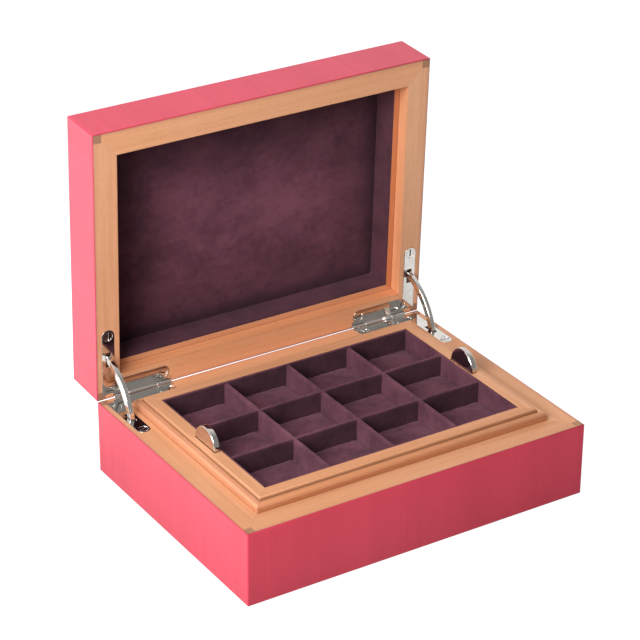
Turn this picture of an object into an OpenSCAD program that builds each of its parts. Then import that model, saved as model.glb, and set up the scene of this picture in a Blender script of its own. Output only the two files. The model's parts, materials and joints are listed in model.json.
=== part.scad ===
// Ring display box: a veneered wooden case with a quadrant-hinged lid and a lift-out ring tray.
// Millimetres, +Z up. The origin is at the centre of the underside, on the surface that the box stands on,
// with the front at -Y and the hinges at +Y. The lid is drawn open, resting on its stays.

/* [Case] */
// Length of the case, side to side
box_l = 250; // [200:1:320]
// Depth of the case, front to back
box_d = 189; // [160:1:240]
// Height of the base's rim above the surface it stands on
base_h = 51.2; // [48:0.1:80]
// Height of the lid from its rim to its top
lid_h = 33.7; // [32:0.1:50]
// Thickness of the base's walls with their veneer
wall = 17.2; // [16:0.1:20]
// Thickness of the coloured veneer
skin = 0.7; // [0.5:0.1:0.8]
// Side of the square lipping in each upright corner
post = 5.5; // [4:0.1:7]
// Radius of the upright corners
edge_round = 1; // [0.9:0.1:3]
// Radius of the base's bottom edges
bottom_round = 1; // [0.9:0.1:4]
// Radius of the outer edges of both rims
rim_round = 1; // [0.8:0.1:2.4]
// Radius of the lid's top edges
lid_top_round = 1; // [0.9:0.1:3.5]
// Gap between the two rims when the lid is closed
rim_gap = 0.3; // [0.2:0.05:0.6]

/* [Base inside] */
// Thickness of the bottom board
bottom_t = 4; // [3:0.1:6]
// How far the felt stands below the case
felt_proud = 0.3; // [0.2:0.1:0.9]
// How far the felt stays back from the case's faces
felt_inset = 6; // [4:0.1:12]
// Thickness of the boards that line the base and form its lip
liner_t = 4; // [3:0.1:5]
// Height of the lip above the base's rim
lip_rise = 5.2; // [3:0.1:6.5]
// Radius along the lip's outer edge
lip_round = 2.4; // [1:0.1:2.9]
// Radius of the lip's upright corners above the rim
lip_corner = 0.6; // [0.4:0.1:3.8]
// Gap between the lip and the closed lid's walls
lip_clear = 0.4; // [0.3:0.05:0.8]
// Thickness of the padded floor
floor_pad_t = 1.8; // [1:0.1:3]
// Thickness of the suede-covered cards on the base's inner faces
base_lining_t = 1.2; // [0.8:0.1:2]
// Width of the ledges that carry the tray
ledge_w = 3; // [2:0.1:5]
// Height of the ledges that carry the tray
ledge_h = 6; // [3:0.1:9]

/* [Lid inside] */
// Thickness of the lid's top board
lid_panel_t = 4.2; // [3:0.1:6]
// Depth from the lid's rim to its inner liner boards
lid_step = 9.3; // [8:0.1:12]
// Thickness of the suede-covered cards on the lid's inner faces
lid_lining_t = 0.9; // [0.6:0.1:1.2]
// Thickness of the padded panel under the lid's top
ceiling_pad_t = 1.5; // [1:0.1:3]

/* [Tray] */
// Height of the tray's top above the base's rim
tray_rise = 7.1; // [5.6:0.1:8.5]
// Overall height of the tray
tray_h = 19.8; // [16:0.1:24]
// Gap between the tray and the base's lip
tray_gap = 1.1; // [0.8:0.1:1.6]
// Gap between the lifted tray and the closed lid's lining
tray_lid_gap = 0.6; // [0.4:0.05:0.8]
// Width of the tray's rails
rail_w = 8.2; // [7.2:0.1:10]
// Radius along the rails' outer top edge
rail_round = 0.9; // [0.4:0.1:1.5]
// Thickness of the tray's bottom board
tray_board_t = 3; // [2:0.1:4]
// How far the rails stand below the tray's bottom board
tray_foot = 1; // [0.5:0.1:2]
// How far the bottom board is let into the rails
board_rebate = 4; // [2:0.1:5]
// Thickness of the pad in each compartment
tray_pad_t = 1.5; // [1:0.1:3]
// Thickness of the suede-covered cards inside the rails
tray_lining_t = 1.6; // [1:0.1:2.2]
// How far the linings stay below the rails' top
lining_drop = 0.4; // [0.2:0.1:1]
// Thickness of the dividers
divider_t = 3; // [2.4:0.1:4]
// How far the dividers stay below the rails' top
divider_drop = 0.6; // [0.3:0.1:2]
// Compartments side to side
columns = 4; // [2:1:6]
// Compartments front to back
rows = 3; // [2:1:4]

/* [Lift tabs] */
// Radius of the half-round lift tabs
tab_r = 12.2; // [8:0.1:16]
// Thickness of the lift tabs
tab_t = 4.2; // [3:0.1:5]
// How far the tabs stand back from the rails' inner faces
tab_setback = 0.6; // [0.5:0.1:1.5]
// Chamfer round the tabs' faces
tab_chamfer = 0.5; // [0.2:0.1:0.8]
// Depth that the tabs are let into the rails
tab_seat = 2.5; // [1.5:0.1:4]
// Clearance around a tab in its mortise
tab_fit = 0.3; // [0.1:0.05:0.5]
// Radius of the two pins under each tab
tab_pin_r = 1.2; // [0.8:0.1:1.5]
// Length of the pins under each tab
tab_pin_l = 5; // [3:0.1:6]

/* [Hinge leaves] */
// Thickness of the leaves
leaf_t = 2; // [1.6:0.1:2.6]
// Width of both legs of a leaf
leaf_w = 9; // [8:0.1:10]
// Distance from the case's side to the leaf
leaf_side_inset = 4.1; // [3.5:0.1:5]
// Distance from the case's back to the leaf
leaf_rear_inset = 3.7; // [3.2:0.1:5]
// Distance from the case's back to the end of the side leg
side_leg = 50.6; // [46:0.1:60]
// Distance from the case's side to the end of the back leg
back_leg = 53.3; // [50:0.1:65]
// Clearance around the leaves in their recesses
leaf_fit = 0.2; // [0.05:0.05:0.3]
// Distance from the case's back to the hinge axis
pivot_inset = 0.3; // [0:0.05:0.6]
// Radius of the barrel
barrel_r = 1.8; // [1.5:0.05:1.95]
// Distance from the case's side to the start of the barrel
barrel_start = 12; // [10:0.1:14]
// Length of the barrel
barrel_l = 42; // [30:0.1:50]
// Length of the lid's knuckle in the middle of the barrel
lid_knuckle_l = 20.8; // [12:0.1:24]
// Gap between neighbouring knuckles
knuckle_gap = 0.15; // [0.1:0.05:0.3]
// Gap between the barrel and the wood
barrel_fit = 0.25; // [0.2:0.05:0.4]
// Radius of the hinge pin
pin_r = 0.9; // [0.7:0.05:1]
// Running clearance around the hinge pin
pin_fit = 0.05; // [0.02:0.01:0.08]
// Angle of the lid when it rests open
lid_open = 87.7; // [84:0.1:90]

/* [Stay arms] */
// Radius of the stay arms' outer edges about the hinge axis, at their ends
arm_r = 33.6; // [30:0.1:35]
// How much closer to the hinge axis the outer edges are at the arms' middle
arm_sag = 4.6; // [3:0.1:6]
// Width of a stay arm at its middle
arm_w = 4.9; // [4.4:0.1:6]
// Width of a stay arm at its ends
arm_end_w = 4.2; // [3.6:0.1:4.9]
// Thickness of a stay arm
arm_t = 3.2; // [2.2:0.1:3.6]
// Chamfer along the arms' edges
arm_chamfer = 0.35; // [0.2:0.05:0.5]
// Clearance between a stay arm and its slots
arm_fit = 0.3; // [0.2:0.05:0.5]
// Radius of the stop pins through the arm's ends
stop_r = 1.2; // [1:0.05:1.5]
// Length of the stop pins
stop_l = 5.4; // [5:0.1:6]
// Gap between a stop pin and its leaf when the lid is open
stop_gap = 0.15; // [0.1:0.05:0.3]

/* [Screws] */
// Radius of the countersunk heads
head_r = 3.2; // [2.8:0.1:3.5]
// Height of the countersunk heads
head_h = 1.6; // [1.2:0.1:1.9]
// How far the heads stay below the leaf's face
head_drop = 0.06; // [0.03:0.01:0.1]
// Radius of the screws' shanks
shank_r = 1.3; // [1:0.1:1.5]
// Length of the screws
screw_l = 11; // [8:0.1:14]
// Width of the screwdriver slot
slot_w = 0.9; // [0.6:0.1:1.2]
// Depth of the screwdriver slot
slot_depth = 0.7; // [0.4:0.1:0.9]
// Distance from the case's side to the screw near the corner
corner_screw = 14.2; // [13.2:0.1:18]

/* [Hidden] */
$fn = 72;
// a cut runs past a face by this much
past = 1;
// soft sheets end this far from their neighbours
soft_gap = 0.1;

case_z = felt_proud;
lid_z = base_h + rim_gap;
lid_top = lid_z + lid_h;
lid_wall = wall - lip_clear;
lid_liner_t = liner_t + tray_gap + lip_clear - lid_lining_t - tray_lid_gap;
bottom_top = case_z + skin + bottom_t;
floor_z = bottom_top + floor_pad_t;
liner_in = wall + liner_t;
lid_liner_in = lid_wall + lid_liner_t;
panel_z = lid_top - skin - lid_panel_t;

tray_in = liner_in + tray_gap;
rail_in = tray_in + rail_w;
tray_top = base_h + tray_rise;
tray_z = tray_top - tray_h;
board_z = tray_z + tray_foot;
cell_z = board_z + tray_board_t + tray_pad_t;
divider_top = tray_top - divider_drop;
cell_l = (box_l - 2 * rail_in - 2 * tray_lining_t - (columns - 1) * divider_t) / columns;
cell_d = (box_d - 2 * rail_in - 2 * tray_lining_t - (rows - 1) * divider_t) / rows;
pitch_x = cell_l + divider_t;
pitch_y = cell_d + divider_t;
divider_mid = (board_z + tray_board_t + divider_top) / 2;
long_l = box_l - 2 * rail_in - 2 * tray_lining_t - 2 * soft_gap;
cross_l = box_d - 2 * rail_in - 2 * tray_lining_t - 2 * soft_gap;
// the dividers are halved into each other with this much play
halving_fit = 0.1;
tab_x = -box_l / 2 + rail_in - tab_setback - tab_t / 2;
tab_z = tray_top - tab_seat;
tab_pin_y = 0.6 * tab_r;

pivot_y = box_d / 2 - pivot_inset;
pivot_z = base_h + rim_gap / 2;
leaf_back_y = box_d / 2 - leaf_rear_inset;
leg_x = -box_l / 2 + leaf_side_inset + leaf_w / 2;
leg_y = leaf_back_y - leaf_w / 2;
side_screw_y = box_d / 2 - side_leg + leaf_w / 2;
back_screw_x = -box_l / 2 + back_leg - leaf_w / 2;
corner_screw_x = -box_l / 2 + corner_screw;
barrel_x = -box_l / 2 + barrel_start;
lid_knuckle_x = barrel_x + (barrel_l - lid_knuckle_l) / 2;

// radius of the stop pins' centres, and their angle past the middle of the opening on each side
stop_path = arm_r - arm_end_w / 2;
stop_depth = rim_gap / 2 + leaf_t + stop_gap + stop_r;
stop_angle = lid_open / 2 + asin(stop_depth / stop_path);
arm_end_angle = stop_angle + asin(arm_end_w / 2 / stop_path);
// an arm's two edges are arcs whose centres lie beyond the hinge axis
// radii of the arcs' middles about that axis
arm_mid_out = arm_r - arm_sag;
arm_mid_in = arm_mid_out - arm_w;
// the mortise goes on past the arm's end by this angle
mortise_end = 2;

pink_light = "#f0718c";
pink = "#c9465f";
timber = "#dda077";
timber_dark = "#a87452";
ply = "#caa27c";
suede = "#5a3444";
felt = "#3d2832";
nickel = "#c9c7c4";

// how far beyond the hinge axis an arc's centre lies, from the arc's distances to it at its ends and middle
function arc_shift(at_end, at_mid) =
    (pow(at_end, 2) - pow(at_mid, 2)) / (2 * (at_mid - at_end * cos(arm_end_angle)));

// ---- shared shapes ----

// a disc about the origin, t thick in all, with chamfers c on its rims
module chamfered_disc(r, t, c) {
    translate([0, 0, -t / 2]) cylinder(r1 = r - c, r2 = r, h = c);
    translate([0, 0, c - t / 2]) cylinder(r = r, h = t - 2 * c);
    translate([0, 0, t / 2 - c]) cylinder(r1 = r, r2 = r - c, h = c);
}

// what cuts a round hole through a plate t thick, with chamfers c on its rims
module chamfered_bore(r, t, c) {
    cylinder(r = r, h = t + past, center = true);
    for (s = [0, 1])
        mirror([0, 0, s]) translate([0, 0, t / 2 - c]) cylinder(r1 = r, r2 = r + c + past, h = c + past);
}

module rounded_rect(l, d, r) {
    square([l - 2 * r, d], center = true);
    square([l, d - 2 * r], center = true);
    for (sx = [-1, 1], sy = [-1, 1])
        translate([sx * (l / 2 - r), sy * (d / 2 - r)]) circle(r);
}

// what a rounded corner takes off, for a corner towards +x +y with its centre at the origin
module corner_cut(r) {
    difference() {
        square(r + past);
        circle(r);
    }
}

// upright section of width l from z0 to z1, with rounded lower and upper edges
module upright_section(l, z0, z1, r_low, r_high) {
    difference() {
        translate([-l / 2, z0]) square([l, z1 - z0]);
        for (s = [-1, 1]) {
            if (r_low > 0) translate([s * (l / 2 - r_low), z0 + r_low]) scale([s, -1]) corner_cut(r_low);
            if (r_high > 0) translate([s * (l / 2 - r_high), z1 - r_high]) scale([s, 1]) corner_cut(r_high);
        }
    }
}

// a block of the case's plan, inset all round, with its long edges rounded
module case_block(inset, z0, z1, r_low, r_high) {
    l = box_l - 2 * inset;
    d = box_d - 2 * inset;
    intersection() {
        translate([0, 0, z0]) linear_extrude(z1 - z0) rounded_rect(l, d, edge_round - inset);
        rotate([90, 0, 0])
            linear_extrude(box_d + past, center = true) upright_section(l, z0, z1, r_low, r_high);
        rotate([90, 0, 90])
            linear_extrude(box_l + past, center = true) upright_section(d, z0, z1, r_low, r_high);
    }
}

module base_outside() {
    case_block(0, case_z, base_h, bottom_round, rim_round);
}

module lid_outside() {
    case_block(0, lid_z, lid_top, rim_round, lid_top_round);
}

module base_core(top) {
    case_block(skin, case_z + skin, top, bottom_round - skin, 0);
}

module lid_core(low) {
    case_block(skin, low, lid_top - skin, 0, lid_top_round - skin);
}

// a corner of the case's plan, inset from its faces: 0 front left, 1 front right, 2 rear right, 3 rear left
function plan_corner(i, inset) = [
    (i == 1 || i == 2 ? 1 : -1) * (box_l / 2 - inset),
    (i >= 2 ? 1 : -1) * (box_d / 2 - inset)
];

// plan of one mitred side of a frame between two insets: 0 front, 1 right, 2 rear, 3 left
module mitred_side(side, outer, inner) {
    next = (side + 1) % 4;
    polygon([
        plan_corner(side, outer), plan_corner(next, outer),
        plan_corner(next, inner), plan_corner(side, inner)
    ]);
}

module mitred_board(side, outer, inner, z0, z1) {
    translate([0, 0, z0]) linear_extrude(z1 - z0) mitred_side(side, outer, inner);
}

module inset_slab(inset, z0, z1) {
    translate([0, 0, z0])
        linear_extrude(z1 - z0) square([box_l - 2 * inset, box_d - 2 * inset], center = true);
}

// square prisms in the upright corners, from the veneer inwards
module corner_squares(z0, z1) {
    at = [box_l / 2 - skin - post / 2, box_d / 2 - skin - post / 2];
    for (sx = [-1, 1], sy = [-1, 1])
        translate([sx * at[0], sy * at[1], (z0 + z1) / 2])
            cube([post, post, z1 - z0], center = true);
}

// cards on the inner faces of a frame, as four separate pieces that butt at the corners
module cards(face_in, t, z0, z1) {
    l = box_l - 2 * face_in;
    d = box_d - 2 * face_in;
    h = z1 - z0;
    zc = (z0 + z1) / 2;
    for (s = [-1, 1]) {
        translate([0, s * (d - t) / 2, zc]) cube([l, t, h], center = true);
        translate([s * (l - t) / 2, 0, zc]) cube([t, d - 2 * t - 2 * soft_gap, h], center = true);
    }
}

module on_both_sides() {
    children();
    mirror([1, 0, 0]) children();
}

module on_right() {
    mirror([1, 0, 0]) children();
}

// the lid's hinge parts are the base's, turned over about the level of the hinge axis
module turned_over() {
    translate([0, 0, 2 * pivot_z]) mirror([0, 0, 1]) children();
}

// what belongs to the lid is drawn closed and swung open about the hinge axis
module opened() {
    translate([0, pivot_y, pivot_z]) rotate([-lid_open, 0, 0]) translate([0, -pivot_y, -pivot_z]) children();
}

// the plane of the left stay arm: x points to the front and y up
module at_arm() {
    translate([leg_x, pivot_y, pivot_z]) rotate([90, 0, -90]) children();
}

module in_arm_plane(t) {
    at_arm() linear_extrude(t, center = true) children();
}

// a wedge about the hinge axis from angle a to angle b, measured up from the front
module wedge(a, b) {
    far = 2 * arm_r;
    m = (a + b) / 2;
    polygon([[0, 0], far * [cos(a), sin(a)], far * [cos(m), sin(m)], far * [cos(b), sin(b)]]);
}

// ---- hinge shapes, at the left of the base ----

module leaf_plan(grow) {
    w = leaf_w / 2 + grow;
    translate([leg_x - w, side_screw_y]) square([2 * w, leaf_back_y + grow - side_screw_y]);
    translate([leg_x, side_screw_y]) circle(w);
    translate([leg_x - w, leg_y - w]) square([back_screw_x - leg_x + w, 2 * w]);
    translate([back_screw_x, leg_y]) circle(w);
}

module along_barrel(x0, l, r) {
    translate([x0, pivot_y, pivot_z]) rotate([0, 90, 0]) cylinder(r = r, h = l);
}

// a knuckle with the web that joins it to the leaf
module knuckle(x0, l) {
    along_barrel(x0, l, barrel_r);
    translate([x0, leaf_back_y - past, base_h - leaf_t]) cube([l, pivot_y - leaf_back_y + past, leaf_t]);
}

// the strip of a leaf that runs along the barrel
module leaf_flange() {
    depth = pivot_y - barrel_r - knuckle_gap - leaf_back_y;
    translate([barrel_x, leaf_back_y - past, base_h - leaf_t]) cube([barrel_l, depth + past, leaf_t]);
}

// in turn at the end of the side leg, at the end of the back leg and near the corner, turned by these angles
module screw_places(turns = [0, 0, 0]) {
    at = [[leg_x, side_screw_y], [back_screw_x, leg_y], [corner_screw_x, leg_y]];
    for (i = [0 : 2]) translate([at[i][0], at[i][1], base_h]) rotate([0, 0, turns[i]]) children();
}

// a slot for the stay arm through a leaf
module arm_slot() {
    y_far = pivot_y - arm_r - arm_fit;
    y_near = pivot_y - sqrt(pow(arm_mid_in, 2) - pow(leaf_t + rim_gap, 2)) + arm_fit;
    w = arm_t + 2 * arm_fit;
    translate([leg_x - w / 2, y_far, base_h - leaf_t - past]) cube([w, y_near - y_far, leaf_t + 2 * past]);
}

// the screw hole through a leaf, with its countersink
module leaf_hole() {
    translate([0, 0, -leaf_t - past]) cylinder(r = shank_r, h = leaf_t + 2 * past);
    translate([0, 0, -head_h - head_drop]) cylinder(r1 = shank_r, r2 = head_r, h = head_h);
    translate([0, 0, -head_drop]) cylinder(r = head_r, h = past);
}

module leaf_blank(knuckles) {
    difference() {
        union() {
            translate([0, 0, base_h - leaf_t]) linear_extrude(leaf_t) leaf_plan(0);
            leaf_flange();
            for (k = knuckles) knuckle(k[0], k[1]);
        }
        for (k = knuckles) along_barrel(k[0] - past, k[1] + 2 * past, pin_r + pin_fit);
        arm_slot();
        screw_places() leaf_hole();
    }
}

module base_leaf() {
    end_l = (barrel_l - lid_knuckle_l) / 2 - knuckle_gap;
    leaf_blank([[barrel_x, end_l], [barrel_x + barrel_l - end_l, end_l]]);
}

module lid_leaf() {
    leaf_blank([[lid_knuckle_x, lid_knuckle_l]]);
}

module screw() {
    difference() {
        union() {
            translate([0, 0, -head_h - head_drop]) cylinder(r1 = shank_r, r2 = head_r, h = head_h);
            translate([0, 0, -screw_l]) cylinder(r = shank_r, h = screw_l - head_h);
        }
        translate([0, 0, -head_drop - slot_depth / 2])
            cube([2 * head_r + past, slot_w, slot_depth + 0.001], center = true);
    }
}

// the screwdriver slots stop where each screw came tight
module leaf_screws(turns) {
    on_both_sides() screw_places(turns) screw();
}

// everything that is cut from the base's walls and veneer for the left hinge
module hinge_recess() {
    translate([0, 0, base_h - leaf_t]) linear_extrude(leaf_t + past) leaf_plan(leaf_fit);
    translate([barrel_x - barrel_fit, leaf_back_y - past, base_h - leaf_t])
        cube([barrel_l + 2 * barrel_fit, leaf_rear_inset + 2 * past, leaf_t + past]);
    translate([0, 0, -screw_l]) screw_places() cylinder(r = shank_r, h = screw_l + past);
    in_arm_plane(stop_l + 2 * arm_fit) intersection() {
        difference() {
            circle(arm_r + arm_fit);
            circle(arm_mid_in - arm_fit);
        }
        wedge(-arm_end_angle - mortise_end, 3);
    }
}

module hinge_recesses() {
    on_both_sides() hinge_recess();
}

// the left stay arm with its two stop pins, at the middle of its swing when the lid is open
module stay_arm() {
    out = arc_shift(arm_r, arm_mid_out);
    in = arc_shift(arm_r - arm_end_w, arm_mid_in);
    at_arm() rotate([0, 0, lid_open / 2]) {
        intersection() {
            difference() {
                translate([-out, 0, 0]) chamfered_disc(arm_mid_out + out, arm_t, arm_chamfer);
                translate([-in, 0, 0]) chamfered_bore(arm_mid_in + in, arm_t, arm_chamfer);
            }
            linear_extrude(arm_t + past, center = true) wedge(-arm_end_angle, arm_end_angle);
        }
        for (s = [-1, 1]) rotate([0, 0, s * stop_angle])
            translate([stop_path, 0, 0]) cylinder(r = stop_r, h = stop_l, center = true);
    }
}

// ---- base ----

module base_wall(side) {
    difference() {
        intersection() {
            base_core(base_h);
            base_outside();
            mitred_board(side, 0, wall, 0, base_h + past);
        }
        corner_squares(0, base_h + past);
        hinge_recesses();
    }
}

module base_front_wall() {
    color(timber) base_wall(0);
}

module base_rear_wall() {
    color(timber) base_wall(2);
}

module base_left_wall() {
    color(timber) base_wall(3);
}

module base_right_wall() {
    color(timber) base_wall(1);
}

module base_corner_posts() {
    color(timber_dark) difference() {
        intersection() {
            base_core(base_h);
            base_outside();
            corner_squares(0, base_h + past);
        }
        hinge_recesses();
    }
}

module base_veneer() {
    color(pink) difference() {
        base_outside();
        base_core(base_h + past);
        inset_slab(felt_inset, 0, case_z + skin + past);
        hinge_recesses();
    }
}

module base_bottom_board() {
    color(ply) inset_slab(wall, case_z + skin, bottom_top);
}

module base_felt() {
    color(felt) inset_slab(felt_inset + soft_gap, 0, case_z + skin);
}

// what rounds the upright corners of the lip
module lip_corner_cuts() {
    for (i = [0 : 3]) {
        at = plan_corner(i, wall + lip_corner);
        translate([at[0], at[1], base_h])
            linear_extrude(lip_rise + past) scale([sign(at[0]), sign(at[1])]) corner_cut(lip_corner);
    }
}

module lip(side) {
    z1 = base_h + lip_rise;
    difference() {
        mitred_board(side, wall, liner_in, bottom_top, z1);
        lip_corner_cuts();
        for (t = [0, 90]) rotate(t) {
            half = (t == 0 ? box_d : box_l) / 2 - wall;
            for (s = [-1, 1])
                translate([0, s * (half - lip_round), z1 - lip_round]) rotate([90, 0, 90])
                    linear_extrude(box_l + box_d, center = true) scale([s, 1]) corner_cut(lip_round);
        }
    }
}

module lip_front() {
    color(timber) lip(0);
}

module lip_rear() {
    color(timber) lip(2);
}

module lip_left() {
    color(timber) lip(3);
}

module lip_right() {
    color(timber) lip(1);
}

module base_floor_pad() {
    color(suede) inset_slab(liner_in + soft_gap, bottom_top, floor_z);
}

module base_side_linings() {
    color(suede) cards(liner_in, base_lining_t, floor_z, tray_z - ledge_h - soft_gap);
}

module tray_ledges() {
    color(timber) cards(liner_in, ledge_w, tray_z - ledge_h, tray_z);
}

module base_leaf_left() {
    color(nickel) base_leaf();
}

module base_leaf_right() {
    color(nickel) on_right() base_leaf();
}

module hinge_pin_left() {
    color(nickel) along_barrel(barrel_x, barrel_l, pin_r);
}

module hinge_pin_right() {
    color(nickel) on_right() along_barrel(barrel_x, barrel_l, pin_r);
}

module base_leaf_screws() {
    color(nickel) leaf_screws([25, 50, 10]);
}

module stay_arm_left() {
    color(nickel) stay_arm();
}

module stay_arm_right() {
    color(nickel) on_right() stay_arm();
}

// ---- lid ----

module lid_wall_side(side) {
    opened() difference() {
        intersection() {
            lid_core(lid_z);
            lid_outside();
            mitred_board(side, 0, lid_wall, lid_z - past, lid_top);
        }
        corner_squares(lid_z - past, lid_top);
        turned_over() hinge_recesses();
    }
}

module lid_front_wall() {
    color(timber) lid_wall_side(0);
}

module lid_rear_wall() {
    color(timber) lid_wall_side(2);
}

module lid_left_wall() {
    color(timber) lid_wall_side(3);
}

module lid_right_wall() {
    color(timber) lid_wall_side(1);
}

module lid_corner_posts() {
    color(timber_dark) opened() difference() {
        intersection() {
            lid_core(lid_z);
            lid_outside();
            corner_squares(lid_z - past, lid_top);
        }
        turned_over() hinge_recesses();
    }
}

module lid_veneer() {
    color(pink_light) opened() difference() {
        lid_outside();
        lid_core(lid_z - past);
        turned_over() hinge_recesses();
    }
}

module lid_top_board() {
    color(ply) opened() inset_slab(lid_wall, panel_z, lid_top - skin);
}

module lid_liner(side) {
    opened() mitred_board(side, lid_wall, lid_liner_in, lid_z + lid_step, panel_z);
}

module lid_liner_front() {
    color(timber) lid_liner(0);
}

module lid_liner_rear() {
    color(timber) lid_liner(2);
}

module lid_liner_left() {
    color(timber) lid_liner(3);
}

module lid_liner_right() {
    color(timber) lid_liner(1);
}

module lid_ceiling_pad() {
    color(suede) opened() inset_slab(lid_liner_in + soft_gap, panel_z - ceiling_pad_t, panel_z);
}

module lid_side_linings() {
    color(suede) opened()
        cards(lid_liner_in, lid_lining_t, lid_z + lid_step + lining_drop, panel_z - ceiling_pad_t);
}

module lid_leaf_left() {
    color(nickel) opened() turned_over() lid_leaf();
}

module lid_leaf_right() {
    color(nickel) opened() turned_over() on_right() lid_leaf();
}

module lid_leaf_screws() {
    color(nickel) opened() turned_over() leaf_screws([88, 20, 65]);
}

// ---- tray ----

module tray_rail(side) {
    difference() {
        mitred_board(side, tray_in, rail_in, tray_z, tray_top);
        inset_slab(rail_in - board_rebate, board_z, board_z + tray_board_t);
        for (t = [0, 90]) rotate(t) {
            half = (t == 0 ? box_d : box_l) / 2 - tray_in;
            for (s = [-1, 1])
                translate([0, s * (half - rail_round), tray_top - rail_round]) rotate([90, 0, 90])
                    linear_extrude(box_l + box_d, center = true) scale([s, 1]) corner_cut(rail_round);
        }
        tab_mortise();
        on_right() tab_mortise();
    }
}

module tray_front_rail() {
    color(timber) tray_rail(0);
}

module tray_rear_rail() {
    color(timber) tray_rail(2);
}

module tray_left_rail() {
    color(timber) tray_rail(3);
}

module tray_right_rail() {
    color(timber) tray_rail(1);
}

module tray_board() {
    color(ply) inset_slab(rail_in - board_rebate, board_z, board_z + tray_board_t);
}

module tray_side_linings() {
    color(suede) cards(rail_in, tray_lining_t, board_z + tray_board_t, tray_top - lining_drop);
}

// a divider along x with a half-round top edge
module divider(l) {
    z0 = board_z + tray_board_t;
    rotate([90, 0, 90]) linear_extrude(l, center = true) {
        translate([-divider_t / 2, z0]) square([divider_t, divider_top - divider_t / 2 - z0]);
        translate([0, divider_top - divider_t / 2]) circle(divider_t / 2);
    }
}

// places of the n - 1 dividers that part a length into n
function along(n, pitch) = [for (i = [1 : n - 1]) (i - n / 2) * pitch];

module halving(x, y, below) {
    w = divider_t + 2 * halving_fit;
    z = below ? divider_mid + halving_fit - tray_h : divider_mid;
    translate([x - w / 2, y - w / 2, z]) cube([w, w, tray_h]);
}

module tray_long_dividers() {
    color(suede) for (y = along(rows, pitch_y)) difference() {
        translate([0, y, 0]) divider(long_l);
        for (x = along(columns, pitch_x)) halving(x, y, false);
    }
}

module tray_cross_dividers() {
    color(suede) for (x = along(columns, pitch_x)) difference() {
        translate([x, 0, 0]) rotate(90) divider(cross_l);
        for (y = along(rows, pitch_y)) halving(x, y, true);
    }
}

module tray_cell_pads() {
    color(suede) for (i = [0 : columns - 1], j = [0 : rows - 1]) {
        x = (i - (columns - 1) / 2) * pitch_x;
        y = (j - (rows - 1) / 2) * pitch_y;
        translate([x, y, cell_z - tray_pad_t / 2])
            cube([cell_l - 2 * soft_gap, cell_d - 2 * soft_gap, tray_pad_t], center = true);
    }
}

// the left lift tab: a half-round plate on a foot with two pins
module tab_pins() {
    for (s = [-1, 1])
        translate([tab_x, s * tab_pin_y, tab_z - tab_pin_l]) cylinder(r = tab_pin_r, h = tab_pin_l + past);
}

module lift_tab() {
    foot = [2 * (tab_r - tab_chamfer), tab_seat + past, tab_t - 2 * tab_chamfer];
    translate([tab_x, 0, tray_top]) rotate([90, 0, 90]) {
        intersection() {
            chamfered_disc(tab_r, tab_t, tab_chamfer);
            translate([-tab_r, 0, -tab_t]) cube([2 * tab_r, tab_r + past, 2 * tab_t]);
        }
        translate([0, (past - tab_seat) / 2, 0]) cube(foot, center = true);
    }
    tab_pins();
}

module tab_mortise() {
    translate([tab_x - tab_t / 2 - tab_fit, -tab_r - tab_fit, tab_z])
        cube([tab_t + 2 * tab_fit, 2 * (tab_r + tab_fit), tab_seat + past]);
    tab_pins();
}

module lift_tab_left() {
    color(nickel) lift_tab();
}

module lift_tab_right() {
    color(nickel) on_right() lift_tab();
}

base_front_wall();
base_rear_wall();
base_left_wall();
base_right_wall();
base_corner_posts();
base_veneer();
base_bottom_board();
base_felt();
lip_front();
lip_rear();
lip_left();
lip_right();
base_floor_pad();
base_side_linings();
tray_ledges();
base_leaf_left();
base_leaf_right();
hinge_pin_left();
hinge_pin_right();
base_leaf_screws();
stay_arm_left();
stay_arm_right();
lid_front_wall();
lid_rear_wall();
lid_left_wall();
lid_right_wall();
lid_corner_posts();
lid_veneer();
lid_top_board();
lid_liner_front();
lid_liner_rear();
lid_liner_left();
lid_liner_right();
lid_ceiling_pad();
lid_side_linings();
lid_leaf_left();
lid_leaf_right();
lid_leaf_screws();
tray_front_rail();
tray_rear_rail();
tray_left_rail();
tray_right_rail();
tray_board();
tray_side_linings();
tray_long_dividers();
tray_cross_dividers();
tray_cell_pads();
lift_tab_left();
lift_tab_right();
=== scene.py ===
"""Looks of the ring display box, built round its packed assembly.

The wood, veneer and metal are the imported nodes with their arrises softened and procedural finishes.
Everything soft is a mesh of its own in place of its plain solid. Metres, +Z up, the front at -Y.
"""

import json
import math

import bmesh
import bpy
from mathutils import Matrix, Vector, noise


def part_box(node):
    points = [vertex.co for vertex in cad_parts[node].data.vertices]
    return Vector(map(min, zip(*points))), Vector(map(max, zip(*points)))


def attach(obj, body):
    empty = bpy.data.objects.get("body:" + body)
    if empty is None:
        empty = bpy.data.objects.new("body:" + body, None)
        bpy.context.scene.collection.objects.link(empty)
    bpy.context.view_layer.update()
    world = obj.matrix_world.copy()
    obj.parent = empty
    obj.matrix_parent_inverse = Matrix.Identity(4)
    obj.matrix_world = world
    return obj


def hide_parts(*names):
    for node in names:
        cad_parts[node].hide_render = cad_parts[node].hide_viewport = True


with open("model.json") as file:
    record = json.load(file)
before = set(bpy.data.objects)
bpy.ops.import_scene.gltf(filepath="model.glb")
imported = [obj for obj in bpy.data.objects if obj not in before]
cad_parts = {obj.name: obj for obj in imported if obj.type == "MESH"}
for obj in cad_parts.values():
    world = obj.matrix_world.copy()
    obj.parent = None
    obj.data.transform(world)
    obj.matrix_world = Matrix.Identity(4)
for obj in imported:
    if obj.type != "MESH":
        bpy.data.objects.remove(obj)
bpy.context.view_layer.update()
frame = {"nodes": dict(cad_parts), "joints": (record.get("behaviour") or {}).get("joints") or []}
# unseeded, noise_vector takes its offsets from the clock and differs in every run
noise.seed_set(1)

MM = 0.001

# ---- places taken from the frame ----

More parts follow.
